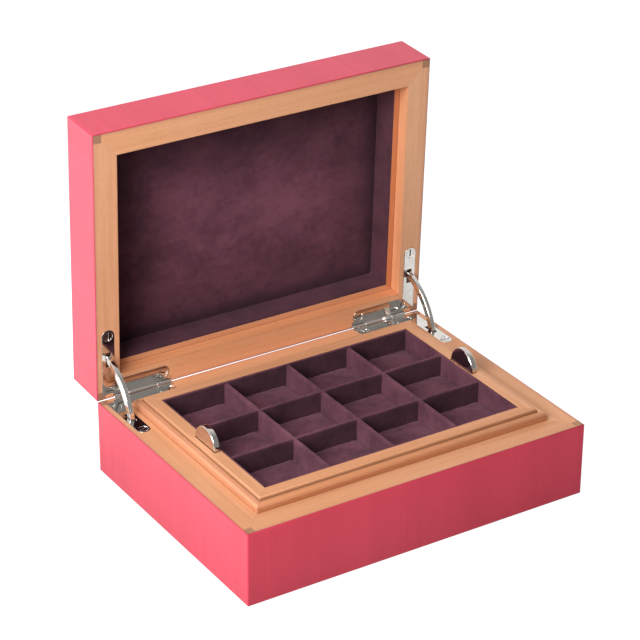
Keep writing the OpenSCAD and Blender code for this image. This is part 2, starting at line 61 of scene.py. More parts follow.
hinge = next(j for j in frame["joints"] if j["name"] == "lid_hinge")
pivot = Vector(hinge["pos_m"])
shut_angle = math.radians(hinge["range_deg"][1])
opening = (
    Matrix.Translation(pivot)
    @ Matrix.Rotation(-shut_angle, 4, "X")
    @ Matrix.Translation(-pivot)
)
closing = opening.inverted()


def shut_box(node):
    """Lowest and highest corner of a node of the lid once the lid is shut."""
    points = [closing @ v.co for v in frame["nodes"][node].data.vertices]
    low = Vector(min(p[i] for p in points) for i in range(3))
    high = Vector(max(p[i] for p in points) for i in range(3))
    return low, high


case_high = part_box("base_veneer")[1]
HALF_L, HALF_D = case_high.x, case_high.y

# sizes that the frame doesn't give by itself
VENEER_T = 0.7 * MM
WALL_DEPTH = 16.5 * MM  # from the veneer's face to the walls' inner faces
TRAY_LINING_T = 1.6 * MM
BASE_LINING_T = 1.2 * MM
LID_LINING_T = 0.9 * MM
DIVIDER_T = 3 * MM
SOFT_GAP = 0.1 * MM  # the source's clearance round each soft solid
COLUMNS, ROWS = 4, 3
# a card's soft face rounds off at its edges over this run by this drop
CARD_RUN, CARD_DROP = 0.7 * MM, 0.5 * MM
TRAY_CARD_RUN, TRAY_CARD_DROP = 0.8 * MM, 0.7 * MM
# the lid's panel starts so much thinner, because it swells towards the tray's tabs
SWELL_ROOM = 0.6 * MM
# the lid's cards end so far short of the panel's back
CARD_SHORT = 0.25 * MM
# size and height of the waves in the suede over the dividers
DIVIDER_WAVES = ((7 * MM, 0.16 * MM), (3 * MM, 0.06 * MM))


# ---- shader building ----


class Nodes:
    """Short calls that build a node tree. An input is a number, a colour or a socket."""

    def __init__(self, tree):
        self.tree = tree

    def put(self, socket, value):
        if isinstance(value, bpy.types.NodeSocket):
            self.tree.links.new(value, socket)
        elif hasattr(value, "__len__"):
            size = len(socket.default_value)
            socket.default_value = (tuple(value) + (1.0,))[:size]
        else:
            socket.default_value = value

    def node(self, kind, inputs=(), **settings):
        made = self.tree.nodes.new("ShaderNode" + kind)
        for key, value in settings.items():
            setattr(made, key, value)
        for key, value in dict(inputs).items():
            self.put(made.inputs[key], value)
        return made

    def maths(self, operation, a, b=0.0):
        return self.node("Math", {0: a, 1: b}, operation=operation).outputs[0]

    def plus(self, a, b):
        return self.maths("ADD", a, b)

    def minus(self, a, b):
        return self.maths("SUBTRACT", a, b)

    def times(self, a, b):
        return self.maths("MULTIPLY", a, b)

    def mapped(self, value, low, high, first, last):
        """first below low, last above high, smooth between."""
        inputs = {
            "Value": value, "From Min": low, "From Max": high, "To Min": first, "To Max": last,
        }
        made = self.node("MapRange", inputs, interpolation_type="SMOOTHSTEP")
        return made.outputs["Result"]

    def smooth(self, value, low, high):
        """0 below low, 1 above high, smooth between."""
        return self.mapped(value, low, high, 0.0, 1.0)

    def scaled(self, vector, factors):
        return self.node("VectorMath", {0: vector, 1: factors}, operation="MULTIPLY").outputs[0]

    def moved(self, vector, by):
        return self.node("VectorMath", {0: vector, 1: by}, operation="ADD").outputs[0]

    def noise(self, vector, scale, detail=2.0, roughness=0.5, distortion=0.0):
        inputs = {
            "Vector": vector,
            "Scale": scale,
            "Detail": detail,
            "Roughness": roughness,
            "Distortion": distortion,
        }
        return self.node("TexNoise", inputs).outputs["Fac"]

    def mix(self, factor, a, b, blend="MIX"):
        made = self.node("Mix", {0: factor, 6: a, 7: b}, data_type="RGBA", blend_type=blend)
        return made.outputs[2]

    def axis(self, vector, name):
        return self.node("SeparateXYZ", {0: vector}).outputs[name]

    def grey(self, value):
        """A colour with this value in all three channels."""
        return self.node("CombineXYZ", {0: value, 1: value, 2: value}).outputs[0]


class Shader(Nodes):
    """A node material with one Principled surface."""

    def __init__(self, name):
        self.material = bpy.data.materials.new(name)
        self.material.use_nodes = True
        super().__init__(self.material.node_tree)
        self.surface = self.tree.nodes["Principled BSDF"]

    def bump(self, height, strength, distance):
        inputs = {"Height": height, "Strength": strength, "Distance": distance}
        self.put(self.surface.inputs["Normal"], self.node("Bump", inputs).outputs[0])

    def set(self, **values):
        """Principled inputs by their names, with _ for a space."""
        for key, value in values.items():
            self.put(self.surface.inputs[key.replace("_", " ")], value)


def case_coordinates(shader, on_lid, kind="Object"):
    """Object coordinates, or with kind Normal the surface's normals, with the lid turned shut,
    so that grain and edges follow the case."""
    raw = shader.node("TexCoord").outputs[kind]
    if not on_lid:
        return raw
    turn = {"Vector": raw, "Rotation": (shut_angle, 0, 0)}
    if kind == "Object":
        turn["Location"] = closing.to_translation()
        return shader.node("Mapping", turn).outputs[0]
    return shader.node("Mapping", turn, vector_type="VECTOR").outputs[0]


def from_outer_face(shader, at):
    """Distance inwards from the nearest of the case's four outer faces."""
    gaps = []
    for name, half in (("X", HALF_L), ("Y", HALF_D)):
        away = shader.maths("ABSOLUTE", shader.axis(at, name))
        gaps.append(shader.minus(half, away))
    return shader.maths("MINIMUM", *gaps)


# ---- materials ----

WOOD_PALE = (0.770, 0.385, 0.205)
WOOD_WARM = (0.630, 0.275, 0.125)
WOOD_PORE = (0.34, 0.145, 0.075)
WOOD_BLUSH = (0.47, 0.17, 0.15)  # the veneer's dye in the wood beside it
GLUE_LINE = (0.26, 0.135, 0.10)
# painted shade for crevices and the gaps between parts
CREVICE_SHADE = (0.24, 0.085, 0.035)
END_PALE = (0.47, 0.24, 0.135)
END_DARK = (0.33, 0.165, 0.10)
END_PORE = (0.20, 0.10, 0.06)
PLY_PALE = (0.70, 0.47, 0.29)
PLY_WARM = (0.56, 0.34, 0.19)
# what the walls' inner faces keep of the colour: painted redder and darker, as the warm tint of light
# bounced between the walls
INNER_FACE_BOUNCE = (0.92, 0.78, 0.69)
VENEER_PINK = (0.800, 0.047, 0.097)
VENEER_DEEP = (0.710, 0.038, 0.081)
VENEER_PORE = (0.30, 0.015, 0.04)
# painted shade for the veneer's cut edge at the rim
VENEER_EDGE_SHADE = (0.38, 0.045, 0.055)
LID_PINK = (0.725, 0.056, 0.108)
LID_DEEP = (0.640, 0.047, 0.091)
SUEDE_LIT = (0.150, 0.052, 0.076)
SUEDE_DARK = (0.062, 0.022, 0.033)
# the lid's panel is paler than the other suede, so that its middle stays bright within the painted
# shade at its edges
LID_PAD_LIT = (0.202, 0.068, 0.104)
LID_PAD_DARK = (0.104, 0.036, 0.056)
LID_CARD_LIT = (0.094, 0.031, 0.046)
LID_CARD_DARK = (0.045, 0.016, 0.024)
TRAY_LIT = (0.165, 0.060, 0.086)
TRAY_DARK = (0.080, 0.029, 0.043)
SUEDE_SHEEN = (0.62, 0.36, 0.46)
FELT_DARK = (0.030, 0.014, 0.022)
FELT_LIT = (0.075, 0.036, 0.052)
FELT_SHEEN = (0.5, 0.4, 0.45)
NICKEL = (0.78, 0.745, 0.71)
DULL_NICKEL = (0.68, 0.65, 0.62)
# the tabs' nickel is painted darker and warmer than the rest, standing in for the dim wood that their
# faces mirror
SHADED_TAB_NICKEL = (0.66, 0.61, 0.565)
SHADED_TAB_DULL = (0.56, 0.52, 0.485)
# painted shade in the screws' slots
PAINTED_SLOT_SHADE = (0.05, 0.04, 0.035)

# how far each board's place in the wood's pattern lies from the last one's, in metres
BOARD_SHIFT = (0.37, 0.61, 0.23)
# how far into the wood the veneer's dye has run
BLUSH_DEPTH = 3.4 * MM
# painted shade: the wood is darker in a crevice where something stands this close
CREVICE_WIDTH = 1.6 * MM

# boards that are redder, darker or paler than the rest: partly their own tone, partly painted light
# and shade for how the light falls on each board
BOARD_TONES_AND_LIGHT = {
    "lid_liner_right": {"pale": (0.660, 0.245, 0.105), "warm": (0.550, 0.180, 0.070)},
    "lid_liner_rear": {"pale": (0.760, 0.360, 0.190), "warm": (0.655, 0.280, 0.128)},
    "base_left_wall": {"pale": (0.725, 0.355, 0.190), "warm": (0.590, 0.253, 0.116)},
    "base_front_wall": {"pale": (0.700, 0.340, 0.182), "warm": (0.570, 0.243, 0.111)},
    "lid_rear_wall": {"pale": (0.850, 0.425, 0.225), "warm": (0.700, 0.305, 0.138)},
    "lid_right_wall": {"pale": (0.860, 0.460, 0.260), "warm": (0.740, 0.345, 0.175)},
    "lid_front_wall": {"pale": (0.820, 0.400, 0.210), "warm": (0.690, 0.290, 0.130)},
    "lid_left_wall": {"pale": (0.810, 0.405, 0.220), "warm": (0.680, 0.290, 0.140)},
    "lip_left": {"pale": (0.670, 0.300, 0.165), "warm": (0.560, 0.220, 0.110)},
    "lip_front": {"pale": (0.610, 0.257, 0.122), "warm": (0.500, 0.190, 0.078)},
    "tray_left_rail": {"pale": (0.710, 0.350, 0.188), "warm": (0.580, 0.250, 0.115)},
    "tray_front_rail": {"pale": (0.705, 0.335, 0.175), "warm": (0.575, 0.240, 0.108)},
}


def stretched(shader, at, grain, along, across):
    """Coordinates for a noise with so many features to the metre along the grain and across it."""
    factors = [across] * 3
    factors["xyz".index(grain)] = along
    return shader.scaled(at, factors)


def glue_line(shader, depth, colour, strength):
    """A thin dark line in the wood along the veneer."""
    fades = shader.smooth(depth, VENEER_T + 0.25 * MM, VENEER_T + 0.7 * MM)
    return shader.mix(shader.times(shader.minus(1.0, fades), strength), colour, GLUE_LINE)


def wood(name, grain, on_lid=False, board=0, rim=False, pale=WOOD_PALE, warm=WOOD_WARM):
    """Straight-grained hardwood under a thin satin finish, painted darker in its crevices as shade.
    Each board starts at its own place in the pattern. rim adds what shows on the case's rims, and
    paints the walls' inner faces redder and darker, as the warm tint of light bounced between them."""
    s = Shader(name)
    at = case_coordinates(s, on_lid)
    local = s.moved(at, [board * shift for shift in BOARD_SHIFT])
    drift = s.noise(stretched(s, local, grain, 6, 38), 1.0, 2.0, 0.5, 0.6)
    streak = s.noise(stretched(s, local, grain, 9, 330), 1.0, 4.0, 0.62, 0.2)
    fine = s.noise(stretched(s, local, grain, 40, 1500), 1.0, 2.0, 0.5)
    pores = s.noise(stretched(s, local, grain, 330, 3600), 1.0, 1.0, 0.4)
    body = s.minus(s.times(drift, 0.9), 0.18)
    body = s.plus(body, s.times(s.minus(streak, 0.5), 1.05))
    body = s.plus(body, s.times(s.minus(fine, 0.5), 0.45))
    colour = s.mix(s.smooth(body, 0.0, 0.85), pale, warm)
    flecks = s.smooth(pores, 0.60, 0.72)
    colour = s.mix(s.times(flecks, 0.26), colour, WOOD_PORE)
    if rim:
        depth = from_outer_face(s, at)
        # painted light: the walls' inner faces are redder and darker, as the warm tint of bounced
        # light
        inner_bounce = s.smooth(depth, WALL_DEPTH - 0.2 * MM, WALL_DEPTH + 0.2 * MM)
        colour = s.mix(inner_bounce, colour, INNER_FACE_BOUNCE, "MULTIPLY")
        blush = s.minus(1.0, s.smooth(depth, VENEER_T, BLUSH_DEPTH))
        colour = s.mix(s.times(blush, 0.26), colour, WOOD_BLUSH)
        colour = glue_line(s, depth, colour, 0.32)
    # painted shade: darker where other parts stand close, in crevices and between parts
    occlusion = s.node("AmbientOcclusion", {"Distance": CREVICE_WIDTH}, samples=8)
    crevice_shade = s.minus(1.0, s.smooth(occlusion.outputs["AO"], 0.30, 0.80))
    colour = s.mix(s.times(crevice_shade, 0.55), colour, CREVICE_SHADE)
    s.set(Base_Color=colour, Specular_IOR_Level=0.42)
    s.set(Roughness=s.plus(0.40, s.times(streak, 0.16)))
    relief = s.minus(s.times(streak, 0.35), flecks)
    s.bump(relief, 0.25, 0.12 * MM)
    return s.material


def end_grain(name, on_lid=False):
    """The square lippings in the corners: end grain on the rims, darker than the rails."""
    s = Shader(name)
    at = case_coordinates(s, on_lid)
    rings = s.noise(stretched(s, at, "z", 20, 260), 1.0, 3.0, 0.6, 0.8)
    dots = s.noise(stretched(s, at, "z", 120, 2400), 1.0, 1.0, 0.5)
    colour = s.mix(s.smooth(rings, 0.30, 0.72), END_PALE, END_DARK)
    colour = s.mix(s.times(s.smooth(dots, 0.55, 0.7), 0.4), colour, END_PORE)
    colour = glue_line(s, from_outer_face(s, at), colour, 0.4)
    s.set(Base_Color=colour, Roughness=0.52, Specular_IOR_Level=0.35)
    s.bump(rings, 0.2, 0.1 * MM)
    return s.material


def veneer(name, on_lid=False, pale=VENEER_PINK, deep=VENEER_DEEP):
    """Dyed pink veneer under satin lacquer, painted darker on its cut edge at the rim, as shade that
    dims the highlight there.
    Its figure runs upright on the sides and lengthwise on top."""
    s = Shader(name)
    at = case_coordinates(s, on_lid)
    up = s.axis(case_coordinates(s, on_lid, "Normal"), "Z")
    on_top = s.smooth(s.maths("ABSOLUTE", up), 0.6, 0.8)
    rim_edge_shade = s.smooth(s.times(up, -1.0 if on_lid else 1.0), 0.25, 0.75)

    def figure(along, across, detail, distortion):
        upright = stretched(s, at, "z", along, across)
        level = stretched(s, at, "x", along, across)
        made = s.node("Mix", {0: on_top, 4: upright, 5: level}, data_type="VECTOR")
        return s.noise(made.outputs[1], 1.0, detail, 0.6, distortion)

    cloud = s.noise(at, 9.0, 2.0, 0.5)
    bands = figure(3.5, 70, 3.0, 0.5)
    lines = figure(12, 620, 3.0, 0.0)
    pores = figure(140, 2200, 1.0, 0.0)
    body = s.plus(s.times(cloud, 0.35), s.times(bands, 0.75))
    body = s.plus(body, s.times(lines, 0.28))
    colour = s.mix(s.smooth(body, 0.45, 0.95), pale, deep)
    flecks = s.smooth(pores, 0.60, 0.75)
    colour = s.mix(s.times(flecks, 0.08), colour, VENEER_PORE)
    # painted shade on the veneer's cut edge at the rim
    colour = s.mix(s.times(rim_edge_shade, 0.65), colour, VENEER_EDGE_SHADE)
    s.set(Base_Color=colour, Specular_IOR_Level=0.40, Coat_Weight=0.25, Coat_Roughness=0.12)
    s.set(Roughness=s.plus(0.40, s.times(lines, 0.10)))
    s.bump(s.minus(lines, flecks), 0.12, 0.06 * MM)
    return s.material


def suede(name, lit, dark, on_lid=False, patch=1.0, painted_shade_from=None, front=1.0):
    """Brushed suede: cloudy patches where the nap lies differently, fine fibres and a soft sheen.
    painted_shade_from is how deep in the case a pad's edge lies: from there inwards the pad is
    painted with shade, darkest at its edges and most at its left and front ones, fading towards its
    middle. front is what the suede keeps of its colour where it faces the front: partly its nap,
    partly painted shade."""
    s = Shader(name)
    at = case_coordinates(s, on_lid)
    patches = s.noise(at, 34.0 * patch, 3.0, 0.58, 0.2)
    strokes = s.noise(s.scaled(at, (60, 110, 60)), 1.0, 3.0, 0.6, 0.4)
    mottle = s.noise(at, 230.0, 3.0, 0.65)
    specks = s.noise(at, 620.0, 2.0, 0.6)
    fibres = s.noise(at, 1900.0, 3.0, 0.7)
    nap = s.plus(s.times(patches, 0.83), s.times(strokes, 0.32))
    nap = s.plus(nap, s.times(mottle, 0.36))
    colour = s.mix(s.smooth(nap, 0.50, 1.00), dark, lit)
    shade = s.plus(0.80, s.times(fibres, 0.4))
    # painted shade: the pad darkens towards its edges, most at its left and front edges
    if painted_shade_from is not None:
        depth = s.minus(from_outer_face(s, at), painted_shade_from)
        near = s.times(s.smooth(depth, 0.0, 15 * MM), 0.33)
        far = s.times(s.smooth(depth, 4 * MM, 72 * MM), 0.40)
        shade = s.times(shade, s.plus(s.plus(near, far), 0.30))
        from_left = s.plus(s.axis(at, "X"), HALF_L - painted_shade_from)
        from_front = s.plus(s.axis(at, "Y"), HALF_D - painted_shade_from)
        nearest = s.maths("MINIMUM", from_left, from_front)
        shade = s.times(shade, s.mapped(nearest, 4 * MM, 70 * MM, 0.66, 0.98))
    # partly the nap's own tone and partly painted shade: darker where the suede faces the front
    if front != 1.0:
        facing = s.times(s.axis(case_coordinates(s, on_lid, "Normal"), "Y"), -1.0)
        shade = s.times(shade, s.mapped(facing, 0.3, 0.9, 1.0, front))
    colour = s.mix(1.0, colour, s.grey(shade), "MULTIPLY")
    s.set(Base_Color=colour, Roughness=0.92, Specular_IOR_Level=0.18)
    s.set(Sheen_Weight=0.35, Sheen_Roughness=0.45, Sheen_Tint=SUEDE_SHEEN)
    height = s.plus(s.times(fibres, 0.5), s.times(specks, 0.7))
    s.bump(height, 0.5, 0.18 * MM)
    return s.material


def felt(name):
    """Dark felt with loose fibres."""
    s = Shader(name)
    at = case_coordinates(s, False)
    fibres = s.noise(at, 1300.0, 4.0, 0.75, 0.6)
    cloud = s.noise(at, 60.0, 2.0, 0.5)
    nap = s.plus(fibres, s.times(cloud, 0.5))
    colour = s.mix(s.smooth(nap, 0.5, 1.0), FELT_DARK, FELT_LIT)
    s.set(Base_Color=colour, Roughness=0.97, Specular_IOR_Level=0.1)
    s.set(Sheen_Weight=0.3, Sheen_Roughness=0.6, Sheen_Tint=FELT_SHEEN)
    s.bump(fibres, 0.8, 0.3 * MM)
    return s.material


def polished(
    name, roughness=0.07, scratch=0.05, sunk_from=None, on_lid=False,
    bright=NICKEL, dull=DULL_NICKEL,
):
    """Mirror-polished nickel with a faint waviness and hairline scratches. sunk_from is the level
    of the screws' heads in the shut case: under it their slots are painted dark as shade, and
    rougher."""
    s = Shader(name)
    at = case_coordinates(s, on_lid)
    wave = s.noise(at, 130.0, 1.0, 0.4)
    hairs = s.noise(s.scaled(at, (900, 60, 900)), 1.0, 2.0, 0.6, 0.4)
    smudge = s.noise(at, 90.0, 3.0, 0.6)
    s.set(Metallic=1.0)
    colour = s.mix(s.smooth(smudge, 0.35, 0.7), bright, dull)
    rough = s.plus(roughness, s.times(s.smooth(hairs, 0.60, 0.75), scratch))
    # painted shade: the slots below the heads' level are dark
    if sunk_from is not None:
        below = s.maths("ABSOLUTE", s.minus(s.axis(at, "Z"), sunk_from))
        slot_shade = s.smooth(below, 0.14 * MM, 0.5 * MM)
        colour = s.mix(s.times(slot_shade, 0.88), colour, PAINTED_SLOT_SHADE)
        rough = s.plus(rough, s.times(slot_shade, 0.3))
    s.set(Base_Color=colour)
    rough = s.plus(rough, s.times(s.smooth(smudge, 0.5, 0.8), 0.04))
    s.set(Roughness=rough)
    s.bump(s.plus(wave, s.times(hairs, 0.02)), 0.03, 0.25 * MM)
    return s.material


def dress(node, material):
    """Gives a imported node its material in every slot."""
    obj = frame["nodes"][node]
    obj.data.materials.clear()
    obj.data.materials.append(material)


FLAT_WITHIN = math.radians(0.5)
ARRIS_FROM = math.radians(30)


def soften(node, width, segments=2):
    """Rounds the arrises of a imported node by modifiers, so that they catch the light."""
    obj = frame["nodes"][node]
    weld = obj.modifiers.new("weld", "WELD")
    weld.merge_threshold = 0.001 * MM
    flat = obj.modifiers.new("flat", "DECIMATE")
    flat.decimate_type = "DISSOLVE"
    flat.angle_limit = FLAT_WITHIN
    arris = obj.modifiers.new("arris", "BEVEL")
    arris.width = width
    arris.segments = segments
    arris.limit_method = "ANGLE"
    arris.angle_limit = ARRIS_FROM
    arris.use_clamp_overlap = False
    arris.harden_normals = True


# the four boards of a frame and the way that their grain runs
SIDES = {"front": "x", "rear": "x", "left": "y", "right": "y"}
# each frame's nodes, whether they are on the lid, whether they show at a rim, arrises in mm
FRAMES = (
    ("base_%s_wall", False, True, 0.08),
    ("lip_%s", False, False, 0.12),
    ("lid_%s_wall", True, True, 0.08),
    ("lid_liner_%s", True, False, 0.15),
    ("tray_%s_rail", False, False, 0.12),
)
board = 0
for pattern, on_lid, rim, arris_mm in FRAMES:
    for side, grain in SIDES.items():
        board += 1
        node = pattern % side
        dress(node, wood(node + "_wood", grain, on_lid, board, rim, **BOARD_TONES_AND_LIGHT.get(node, {})))
        soften(node, arris_mm * MM)

dress("tray_ledges", wood("ledge_wood", "y", board=41))
soften("tray_ledges", 0.25 * MM)
plain_ply = {"pale": PLY_PALE, "warm": PLY_WARM}
dress("base_bottom_board", wood("bottom_ply", "x", board=42, **plain_ply))
dress("tray_board", wood("tray_ply", "x", board=43, **plain_ply))
dress("lid_top_board", wood("lid_ply", "x", on_lid=True, board=44, **plain_ply))
for node in ("base_bottom_board", "tray_board", "lid_top_board"):
    soften(node, 0.15 * MM)

dress("base_corner_posts", end_grain("base_end_grain"))
dress("lid_corner_posts", end_grain("lid_end_grain", on_lid=True))
dress("base_veneer", veneer("base_pink"))
dress("lid_veneer", veneer("lid_pink", True, LID_PINK, LID_DEEP))
for node in ("base_corner_posts", "lid_corner_posts", "base_veneer", "lid_veneer"):
    soften(node, 0.12 * MM)

nickel = polished("nickel")
shaded_tab_nickel = polished("shaded_tab_nickel", 0.10, bright=SHADED_TAB_NICKEL, dull=SHADED_TAB_DULL)
base_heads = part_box("base_leaf_screws")[1].z
lid_heads = shut_box("lid_leaf_screws")[0].z
base_screw_nickel = polished("base_screw_nickel", 0.12, 0.08, base_heads)
lid_screw_nickel = polished("lid_screw_nickel", 0.12, 0.08, lid_heads, on_lid=True)
# each metal node, its material and its arrises in mm
METAL = (
    ("base_leaf_left", nickel, 0.2),
    ("base_leaf_right", nickel, 0.2),
    ("lid_leaf_left", nickel, 0.2),
    ("lid_leaf_right", nickel, 0.2),
    ("hinge_pin_left", nickel, 0.12),
    ("hinge_pin_right", nickel, 0.12),
    ("stay_arm_left", nickel, 0.1),
    ("stay_arm_right", nickel, 0.1),
    ("lift_tab_left", shaded_tab_nickel, 0.12),
    ("lift_tab_right", shaded_tab_nickel, 0.12),
    ("base_leaf_screws", base_screw_nickel, 0.1),
    ("lid_leaf_screws", lid_screw_nickel, 0.1),
)
for node, material, arris_mm in METAL:
    dress(node, material)
    soften(node, arris_mm * MM, segments=3)


# ---- soft pieces ----

# where the vertices lie over the rounded edge of a slab, in degrees
EDGE_ANGLES = (0, 12, 25, 40, 56, 73, 90)


def graded(length, run, step):
    """Places from one edge of a slab to the other, close together over its rounded edges."""
    rounded = [run * (1 - math.cos(math.radians(a))) for a in EDGE_ANGLES]
    count = max(1, round((length - 2 * run) / step))
    middle = [run + (length - 2 * run) * i / count for i in range(1, count)]
    places = rounded + middle + [length - p for p in reversed(rounded)]
    return [p - length / 2 for p in places]


def add_slab(bm, place, size, run, drop, crown=0.0, rumple=0.0, pitch=12 * MM, step=3 * MM):
    """A closed slab, flat underneath at its local z = 0. Its top rounds off by drop over run at
    each edge, swells by crown in the middle, and is uneven by rumple at the given pitch."""
    length, depth, thick = size
    columns, rows = graded(length, run, step), graded(depth, run, step)

    def height(x, y):
        from_x = max(0.0, 1 - (length / 2 - abs(x)) / run)
        from_y = max(0.0, 1 - (depth / 2 - abs(y)) / run)
        off = min(1.0, math.hypot(from_x, from_y))
        edge = math.sqrt(1 - off * off)
        swell = crown * (1 - (2 * x / length) ** 4) * (1 - (2 * y / depth) ** 4)
        where = place @ Vector((x, y, 0))
        uneven = rumple * (noise.noise(where / pitch) + 0.4 * noise.noise(where * 2.7 / pitch))
        return thick - drop + drop * edge + (swell + uneven) * edge

    top = [[bm.verts.new(place @ Vector((x, y, height(x, y)))) for y in rows] for x in columns]
    for i in range(len(columns) - 1):
        for j in range(len(rows) - 1):
            bm.faces.new((top[i][j], top[i + 1][j], top[i + 1][j + 1], top[i][j + 1]))
    last_i, last_j = len(columns) - 1, len(rows) - 1
    ring = [(i, 0) for i in range(last_i)] + [(last_i, j) for j in range(last_j)]
    ring += [(i, last_j) for i in range(last_i, 0, -1)] + [(0, j) for j in range(last_j, 0, -1)]
    low = [bm.verts.new(place @ Vector((columns[i], rows[j], 0))) for i, j in ring]
    for k, (i, j) in enumerate(ring):
        after = (k + 1) % len(ring)
        next_i, next_j = ring[after]
        bm.faces.new((top[i][j], low[k], low[after], top[next_i][next_j]))
    bm.faces.new(reversed(low))


def upright(inward, origin):
    """Local x along a wall, y up and z along inward."""
    inward = Vector(inward)
    up = Vector((0, 0, 1))
    turn = Matrix((up.cross(inward), up, inward)).transposed().to_4x4()
    return Matrix.Translation(origin) @ turn


def add_cards(bm, low, high, thick, to_frame, run, drop, rumple):
    """Four suede-covered cards that line a rectangle from low to high, butted at its corners."""
    middle = (low + high) / 2
    length, depth, tall = high - low
    between = depth - 2 * thick - 2 * SOFT_GAP
    for side in (-1, 1):
        at = Vector((middle.x, middle.y + side * depth / 2, middle.z))
        place = to_frame @ upright((0, -side, 0), at)
        add_slab(bm, place, (length, tall, thick), run, drop, rumple=rumple)
        at = Vector((middle.x + side * length / 2, middle.y, middle.z))
        place = to_frame @ upright((-side, 0, 0), at)
        add_slab(bm, place, (between, tall, thick), run, drop, rumple=rumple)


def make_piece(name, bm, material, body, slot, *nodes):
    """Turns a bmesh into a piece that rides on a body and stands for these nodes."""
    bmesh.ops.recalc_face_normals(bm, faces=bm.faces)
    mesh = bpy.data.meshes.new(name)
    bm.to_mesh(mesh)
    bm.free()
    mesh.materials.append(material)
    mesh.shade_smooth()
    mesh.set_sharp_from_angle(angle=math.radians(50))
    obj = bpy.data.objects.new(name, mesh)
    bpy.context.scene.collection.objects.link(obj)
    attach(obj, body)
    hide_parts(*nodes)
    return obj


# the cloth pass over the pads: a light cover that air presses outwards
COVER_FRAMES = 12
COVER_QUALITY = 4
COVER_MASS = 0.1
COVER_BENDING = 0.05
COVER_PRESSURE = 4.0
COVER_SLACK = 0.01
# the share of a pad's height up to which its cover is glued down
GLUED_TO = 0.45


def settle_cover(pad, to_flat, most):
    """Simulates the suede over a pad's filling as cloth. The rim of the cover is held, where it
    is glued, and no point moves further than most. to_flat turns the pad's underside to z = 0."""
    heights = [(to_flat @ v.co).z for v in pad.data.vertices]
    held = pad.vertex_groups.new(name="held")
    held.add([i for i, z in enumerate(heights) if z < GLUED_TO * max(heights)], 1.0, "ADD")
    cover = pad.modifiers.new("cover", "CLOTH")
    cover.settings.quality = COVER_QUALITY
    cover.settings.mass = COVER_MASS
    cover.settings.vertex_group_mass = held.name
    cover.settings.use_pressure = True
    cover.settings.uniform_pressure_force = COVER_PRESSURE
    cover.settings.shrink_min = -COVER_SLACK
    cover.settings.bending_stiffness = COVER_BENDING
    cover.settings.effector_weights.gravity = 0.0
    cover.point_cache.frame_end = COVER_FRAMES
    for at_frame in range(1, COVER_FRAMES + 1):
        bpy.context.scene.frame_set(at_frame)
    shaped = pad.evaluated_get(bpy.context.evaluated_depsgraph_get()).data
    settled = [v.co.copy() for v in shaped.vertices]
    pad.modifiers.remove(cover)
    pad.vertex_groups.remove(held)
    bpy.context.scene.frame_set(1)
    for vertex, after in zip(pad.data.vertices, settled):
        step = after - vertex.co
        if step.length > most:
            step *= most / step.length
        vertex.co += step


def flat_pad(name, place, size, material, body, node, most, **shape):
    """One padded slab whose cover moves no further than most."""
    bm = bmesh.new()
    add_slab(bm, place, size, **shape)
    pad = make_piece(name, bm, material, body, "suede", node)
    settle_cover(pad, place.inverted(), most)


def within_cards(node, box_of, card_t):
    """The box of a pad whose edges tuck in behind the rounded edges of the cards round it."""
    low, high = box_of(node)
    inset = Vector((card_t - CARD_DROP, card_t - CARD_DROP, 0))
    return low + inset, high - inset


still = Matrix.Identity(4)
turn_down = Matrix.Rotation(math.pi, 4, "X")

# the tray's suede keeps half its colour where it faces the front: partly its nap, partly painted
# shade
tray_suede = suede("tray_suede", TRAY_LIT, TRAY_DARK, patch=1.3, front=0.5)


def line_base():
    """The floor pad under the tray and the cards round it."""
    material = suede("base_suede", SUEDE_LIT, SUEDE_DARK)
    low, high = within_cards("base_floor_pad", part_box, BASE_LINING_T)
    place = Matrix.Translation(((low.x + high.x) / 2, (low.y + high.y) / 2, low.z))
    flat_pad(
        "base_floor_cushion", place, high - low, material, "base", "base_floor_pad", 0.8 * MM,
        run=5 * MM, drop=1.2 * MM, crown=0.5 * MM, rumple=0.2 * MM, step=6 * MM,
    )
    low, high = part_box("base_side_linings")
    low.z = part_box("base_floor_pad")[0].z + SOFT_GAP
    bm = bmesh.new()
    add_cards(bm, low, high, BASE_LINING_T, still, CARD_RUN, CARD_DROP, 0.05 * MM)
    make_piece("base_lining_cards", bm, material, "base", "suede", "base_side_linings")


def line_lid():
    """The panel under the lid's top, its soft side down when the lid is shut, and its cards."""
    inset = HALF_L - shut_box("lid_ceiling_pad")[1].x
    pad_suede = suede("lid_pad_suede", LID_PAD_LIT, LID_PAD_DARK, on_lid=True, painted_shade_from=inset)
    card_suede = suede("lid_card_suede", LID_CARD_LIT, LID_CARD_DARK, on_lid=True)
    low, high = within_cards("lid_ceiling_pad", shut_box, LID_LINING_T)
    low.z += SWELL_ROOM
    at = Matrix.Translation(((low.x + high.x) / 2, (low.y + high.y) / 2, high.z))
    place = opening @ at @ turn_down
    flat_pad(
        "lid_ceiling_cushion", place, high - low, pad_suede, "lid", "lid_ceiling_pad", 0.4 * MM,
        run=6.5 * MM, drop=0.8 * MM, crown=0.4 * MM, rumple=0.2 * MM, pitch=22 * MM, step=4 * MM,
    )
    low, high = shut_box("lid_side_linings")
    high.z = shut_box("lid_ceiling_pad")[1].z - CARD_SHORT
    bm = bmesh.new()
    add_cards(bm, low, high, LID_LINING_T, opening, CARD_RUN, CARD_DROP, 0.08 * MM)
    make_piece("lid_lining_cards", bm, card_suede, "lid", "suede", "lid_side_linings")


def line_tray():
    """The cards round the tray's cells."""
    low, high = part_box("tray_side_linings")
    bm = bmesh.new()
    add_cards(bm, low, high, TRAY_LINING_T, still, TRAY_CARD_RUN, TRAY_CARD_DROP, 0.08 * MM)
    make_piece("tray_lining_cards", bm, tray_suede, "tray", "suede", "tray_side_linings")


line_base()
line_lid()
line_tray()

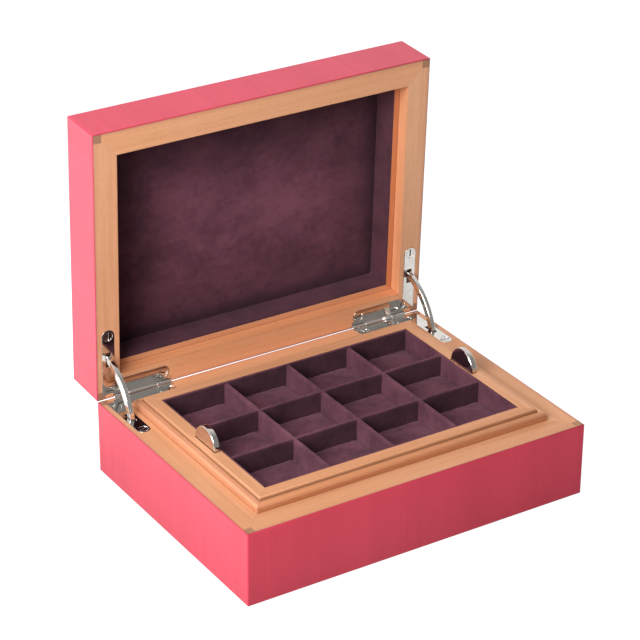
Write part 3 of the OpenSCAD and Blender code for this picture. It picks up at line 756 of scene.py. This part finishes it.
# the cells of the tray
long_low, long_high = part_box("tray_long_dividers")
cross_low, cross_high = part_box("tray_cross_dividers")
CELL_L = (long_high.x - long_low.x + 2 * SOFT_GAP - (COLUMNS - 1) * DIVIDER_T) / COLUMNS
CELL_D = (cross_high.y - cross_low.y + 2 * SOFT_GAP - (ROWS - 1) * DIVIDER_T) / ROWS
PITCH_X, PITCH_Y = CELL_L + DIVIDER_T, CELL_D + DIVIDER_T


def spread(count, pitch):
    """So many places at this pitch, centred on 0."""
    return [(i - (count - 1) / 2) * pitch for i in range(count)]


def cushion_cells():
    """A pad in each cell of the tray."""
    low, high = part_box("tray_cell_pads")
    size = (CELL_L - 2 * SOFT_GAP, CELL_D - 2 * SOFT_GAP, high.z - low.z)
    bm = bmesh.new()
    for x in spread(COLUMNS, PITCH_X):
        for y in spread(ROWS, PITCH_Y):
            add_slab(
                bm, Matrix.Translation((x, y, low.z)), size, run=2.6 * MM, drop=1.0 * MM,
                crown=0.35 * MM, rumple=0.22 * MM, pitch=9 * MM, step=2.5 * MM,
            )
    pads = make_piece("tray_cell_cushions", bm, tray_suede, "tray", "suede", "tray_cell_pads")
    settle_cover(pads, Matrix.Translation((0, 0, -low.z)), 0.6 * MM)


# where the vertices lie over a divider's half-round top, in degrees from its middle
ROUND_ANGLES = (-90, -66, -44, -22, 0, 22, 44, 66, 90)
LATTICE_STEP = 2.2 * MM
LATTICE_LEVELS = 6
# how far the suede dips where two dividers cross
CREASE = 0.25 * MM


def band_places(half, centres):
    """Places along one axis of the divider lattice, and the divider of each, or None."""
    ramp = [math.sin(math.radians(a)) * DIVIDER_T / 2 for a in ROUND_ANGLES]
    places, owners = [], []
    edges = [-half] + [c + s * DIVIDER_T / 2 for c in centres for s in (-1, 1)] + [half]
    for k in range(0, len(edges), 2):
        start, end = edges[k], edges[k + 1]
        count = max(1, round((end - start) / LATTICE_STEP))
        between = [start + (end - start) * i / count for i in range(count + 1)]
        if k > 0:
            between = between[1:]
        if k + 2 < len(edges):
            between = between[:-1]
        places += between
        owners += [None] * len(between)
        if k + 2 < len(edges):
            centre = centres[k // 2]
            places += [centre + r for r in ramp]
            owners += [k // 2] * len(ramp)
    return places, owners


def add_lattice(bm, half_x, half_y, z0, z1):
    """The dividers as one suede-covered lattice from z0 to z1, its top half-round and creased
    where two of them cross."""
    centres_x = spread(COLUMNS - 1, PITCH_X)
    centres_y = spread(ROWS - 1, PITCH_Y)
    xs, own_x = band_places(half_x, centres_x)
    ys, own_y = band_places(half_y, centres_y)
    radius = DIVIDER_T / 2

    def off_centre(place, owner, centres):
        return radius * 2 if owner is None else abs(place - centres[owner])

    def height(i, j):
        off = min(off_centre(xs[i], own_x[i], centres_x), off_centre(ys[j], own_y[j], centres_y))
        crossing = own_x[i] is not None and own_y[j] is not None
        dip = CREASE if crossing else 0.0
        return z1 - radius + math.sqrt(max(0.0, radius * radius - off * off)) - dip

    kept = {}

    def vertex(i, j, level, z):
        key = (i, j, level)
        if key not in kept:
            kept[key] = bm.verts.new((xs[i], ys[j], z))
        return kept[key]

    def covered(i, j):
        in_x = own_x[i] is not None and own_x[i] == own_x[i + 1]
        in_y = own_y[j] is not None and own_y[j] == own_y[j + 1]
        return in_x or in_y

    shown = {(i, j) for i in range(len(xs) - 1) for j in range(len(ys) - 1) if covered(i, j)}
    for i, j in shown:
        corners = ((i, j), (i + 1, j), (i + 1, j + 1), (i, j + 1))
        bm.faces.new([vertex(a, b, 0, height(a, b)) for a, b in corners])
        bm.faces.new([vertex(a, b, LATTICE_LEVELS, z0) for a, b in reversed(corners)])
        beside = ((i, j - 1), (i + 1, j), (i, j + 1), (i - 1, j))
        for k in range(4):
            if beside[k] in shown:
                continue
            (a, b), (c, d) = corners[k], corners[(k + 1) % 4]
            for level in range(LATTICE_LEVELS):
                down = [(level + n) / LATTICE_LEVELS for n in (0, 1)]
                z_a = [height(a, b) * (1 - t) + z0 * t for t in down]
                z_c = [height(c, d) * (1 - t) + z0 * t for t in down]
                bm.faces.new((
                    vertex(a, b, level, z_a[0]), vertex(a, b, level + 1, z_a[1]),
                    vertex(c, d, level + 1, z_c[1]), vertex(c, d, level, z_c[0]),
                ))


def make_dividers():
    """The lattice, its sides and top a little uneven, but never above the solid."""
    bm = bmesh.new()
    add_lattice(bm, long_high.x, cross_high.y, long_low.z, long_high.z)
    for v in bm.verts:
        if long_low.z + MM < v.co.z:
            soft = Vector()
            for size, height in DIVIDER_WAVES:
                soft += noise.noise_vector(v.co / size) * height
            v.co += Vector((soft.x, soft.y, min(0.0, soft.z)))
    stood_for = ("tray_long_dividers", "tray_cross_dividers")
    make_piece("tray_divider_lattice", bm, tray_suede, "tray", "suede", *stood_for)


def make_felt():
    """The felt under the base, its soft side down."""
    low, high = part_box("base_felt")
    bm = bmesh.new()
    place = Matrix.Translation((0, 0, high.z)) @ turn_down
    add_slab(bm, place, high - low, run=0.8 * MM, drop=0.5 * MM, step=8 * MM)
    make_piece("base_felt_sheet", bm, felt("felt"), "base", "underside_felt", "base_felt")


cushion_cells()
make_dividers()
make_felt()


# ---- stage, light and camera ----


def shows_background(n):
    """1 for rays that show the background: from the camera, or off or through a surface."""
    paths = n.node("LightPath").outputs
    mirrored = n.maths("MAXIMUM", paths["Is Glossy Ray"], paths["Is Transmission Ray"])
    return paths["Is Camera Ray"], n.maths("MAXIMUM", paths["Is Camera Ray"], mirrored)


FLOOR_SIZE = 14


def make_floor():
    """White paper to the camera. What the box mirrors of it is painted dim in front of the box and at
    its foot as shadow, and bright to its left; the light that the paper scatters is painted weaker
    near the box, as the box's shadow."""
    bpy.ops.mesh.primitive_plane_add(size=FLOOR_SIZE, location=(0, 0, 0))
    floor = bpy.context.object
    floor.name = "floor"
    material = bpy.data.materials.new("floor_paper")
    material.use_nodes = True
    material.node_tree.nodes.clear()
    n = Nodes(material.node_tree)
    at = n.node("TexCoord").outputs["Object"]
    from_camera, shown = shows_background(n)
    off_case = n.times(from_outer_face(n, at), -1.0)
    # what is mirrored, in metres from the frame's origin, then from the case
    # painted reflection: what the box mirrors of the paper is brighter to its left and dimmer in
    # front of it
    beside = n.mapped(n.axis(at, "X"), -0.05, 0.10, 1.42, 0.85)
    mirrored = n.mapped(n.axis(at, "Y"), -0.20, -0.10, 0.31, beside)
    # painted shadow in what the box mirrors, at its foot
    mirrored = n.times(mirrored, n.mapped(off_case, 0.0, 0.08, 0.66, 1.0))
    mirrored = n.times(mirrored, n.mapped(off_case, 0.07, 0.14, 1.0, 1.08))
    glow = n.node("Emission", {"Strength": n.maths("MAXIMUM", mirrored, from_camera)})
    lit = n.node("BsdfDiffuse", {"Color": (0.10, 0.10, 0.10)})
    white = n.node("AddShader", {0: lit.outputs[0], 1: glow.outputs[0]})
    # painted shadow: the paper scatters less light near the box
    paper = n.mapped(off_case, 0.0, 0.20, 0.25, 0.90)
    scatter = n.node("BsdfDiffuse", {"Color": n.grey(paper)})
    seen = n.node("MixShader", {0: shown, 1: scatter.outputs[0], 2: white.outputs[0]})
    n.node("OutputMaterial", {0: seen.outputs[0]})
    floor.data.materials.append(material)


def make_world(strength):
    """White to the camera. Metal mirrors a white room behind the box and a dim one before it."""
    world = bpy.data.worlds.new("studio")
    bpy.context.scene.world = world
    world.use_nodes = True
    world.node_tree.nodes.clear()
    n = Nodes(world.node_tree)
    from_camera, shown = shows_background(n)
    towards = n.node("TexCoord").outputs["Generated"]
    mirrored = n.mapped(n.axis(towards, "Y"), -0.45, 0.45, 0.33, 1.0)
    room_strength = n.maths("MAXIMUM", mirrored, from_camera)
    room = n.node("Background", {"Color": (1, 1, 1), "Strength": room_strength})
    soft = n.node("Background", {"Color": (1, 1, 1), "Strength": strength})
    seen = n.node("MixShader", {0: shown, 1: soft.outputs[0], 2: room.outputs[0]})
    n.node("OutputWorld", {0: seen.outputs[0]})


AIM = Vector((0, 0.02, 0.1))  # the lamps point here


def from_side(turn, rise, distance=1.3):
    """A place at this distance from the box's middle, turned from the front to the left and
    raised, both in degrees."""
    turn, rise = math.radians(turn), math.radians(rise)
    flat = distance * math.cos(rise)
    level = distance * math.sin(rise) + AIM.z
    return (-flat * math.sin(turn), -flat * math.cos(turn), level)


def softbox(name, at, size, power, mirrored=True):
    """A square area lamp. Where mirrored is False, metal and lacquer don't show it."""
    light = bpy.data.lights.new(name, "AREA")
    light.shape = "SQUARE"
    light.size = size
    light.energy = power
    lamp = bpy.data.objects.new(name, light)
    bpy.context.scene.collection.objects.link(lamp)
    lamp.location = at
    lamp.rotation_mode = "QUATERNION"
    lamp.rotation_quaternion = (AIM - Vector(at)).to_track_quat("-Z", "Y")
    lamp.visible_glossy = mirrored


# the camera that was fitted to the photograph, its focal length in pixels
PICTURE = 640
FOCAL = 2482.9
SENSOR = 36.0
CAMERA_AT = (-0.7559, -1.1635, 0.8308)
AZIMUTH, ELEVATION, ROLL = (math.radians(a) for a in (32.484, 27.188, 0.359))


def make_camera():
    """The photograph's view: looking to the back and right, down at the box."""
    forward = Vector((
        math.sin(AZIMUTH) * math.cos(ELEVATION),
        math.cos(AZIMUTH) * math.cos(ELEVATION),
        -math.sin(ELEVATION),
    ))
    right = Vector((math.cos(AZIMUTH), -math.sin(AZIMUTH), 0))
    up = right.cross(forward)
    turned_right = right * math.cos(ROLL) + up * math.sin(ROLL)
    turned_up = up * math.cos(ROLL) - right * math.sin(ROLL)
    data = bpy.data.cameras.new("camera")
    data.sensor_width = SENSOR
    data.lens = FOCAL * SENSOR / PICTURE
    data.clip_start, data.clip_end = 0.05, 50
    camera = bpy.data.objects.new("camera", data)
    bpy.context.scene.collection.objects.link(camera)
    axes = Matrix((turned_right, turned_up, -forward)).transposed().to_4x4()
    camera.matrix_world = Matrix.Translation(CAMERA_AT) @ axes
    bpy.context.scene.camera = camera


make_floor()
make_world(0.06)
softbox("key", from_side(64, 32), 0.8, 21.5)
softbox("rear", from_side(137, 40), 0.6, 4.5, mirrored=False)
softbox("top", from_side(0, 82), 0.6, 3.0, mirrored=False)
softbox("right", from_side(-118, 12), 0.8, 8.0, mirrored=False)
make_camera()
bpy.context.scene.view_settings.view_transform = "Standard"
